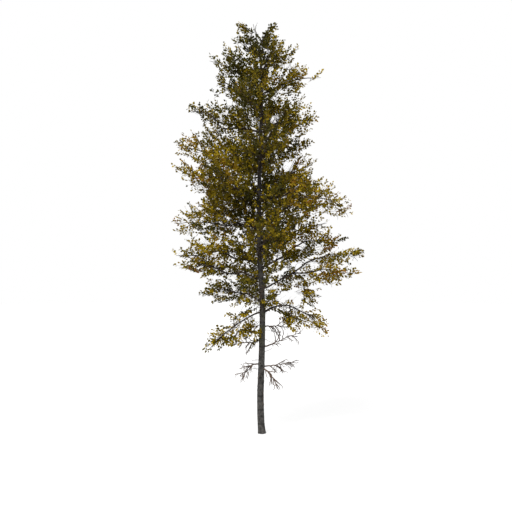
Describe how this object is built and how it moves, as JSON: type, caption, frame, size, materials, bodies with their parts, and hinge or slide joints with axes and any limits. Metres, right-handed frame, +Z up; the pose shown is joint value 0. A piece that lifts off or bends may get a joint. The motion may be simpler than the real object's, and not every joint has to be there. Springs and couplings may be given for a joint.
{
  "type": "poplar tree",
  "caption": "Young upright poplar with a straight trunk, airy tiered crown of autumn leaves and bare dead lower boughs, for standing in a landscape scene",
  "frame": {"origin": "middle of the flat cut under the trunk, at ground level", "axes": "+Z up along the trunk, +X to the right of the crown's broad side, +Y to its back"},
  "size_m": [5.4824, 4.4609, 11.985],
  "materials": {
    "bark": "smooth grey bark with ring scars",
    "dead_wood": "weathered bare dead twigs",
    "leaves": "olive and gold autumn leaves"
  },
  "bodies": {
    "root": {"trunk": "bark", "dead_left": "dead_wood", "dead_left_upper": "dead_wood", "dead_right_front": "dead_wood", "dead_right": "dead_wood", "dead_right_rise": "dead_wood", "dead_right_upper": "dead_wood", "bough_low_left": "bark", "bough_low_left_upper": "bark", "bough_mid_left": "bark", "bough_mid_left_upper": "bark", "bough_broad_right": "bark", "bough_mid_right": "bark", "bough_low_right": "bark", "bough_inner_right": "bark", "bough_front_low": "bark", "bough_back_low": "bark", "leaves_low_left": "leaves", "leaves_low_left_inner": "leaves", "leaves_low_left_upper": "leaves", "leaves_mid_left": "leaves", "leaves_mid_left_lower": "leaves", "leaves_mid_left_upper": "leaves", "leaves_broad_left_lower": "leaves", "leaves_broad_left_upper": "leaves", "leaves_high_left": "leaves", "leaves_upper_left": "leaves", "leaves_top_left": "leaves", "leaves_spire_left": "leaves", "leaves_spire_leader": "leaves", "leaves_spire_right": "leaves", "leaves_top_right": "leaves", "leaves_upper_right": "leaves", "leaves_high_right": "leaves", "leaves_high_right_lower": "leaves", "leaves_broad_right_upper": "leaves", "leaves_broad_right": "leaves", "leaves_core_right": "leaves", "leaves_mid_right_upper": "leaves", "leaves_mid_right": "leaves", "leaves_mid_right_under": "leaves", "leaves_low_right_rise": "leaves", "leaves_low_right": "leaves", "leaves_low_right_drop": "leaves", "leaves_inner_right": "leaves", "leaves_front_low": "leaves", "leaves_front_mid": "leaves", "leaves_front_broad_right": "leaves", "leaves_front_broad_left": "leaves", "leaves_front_high": "leaves", "leaves_front_upper": "leaves", "leaves_front_top": "leaves", "leaves_back_low": "leaves", "leaves_back_mid": "leaves", "leaves_back_broad_left": "leaves", "leaves_back_broad_right": "leaves", "leaves_back_high": "leaves", "leaves_back_upper": "leaves", "leaves_back_top": "leaves"}
  },
  "joints": []
}
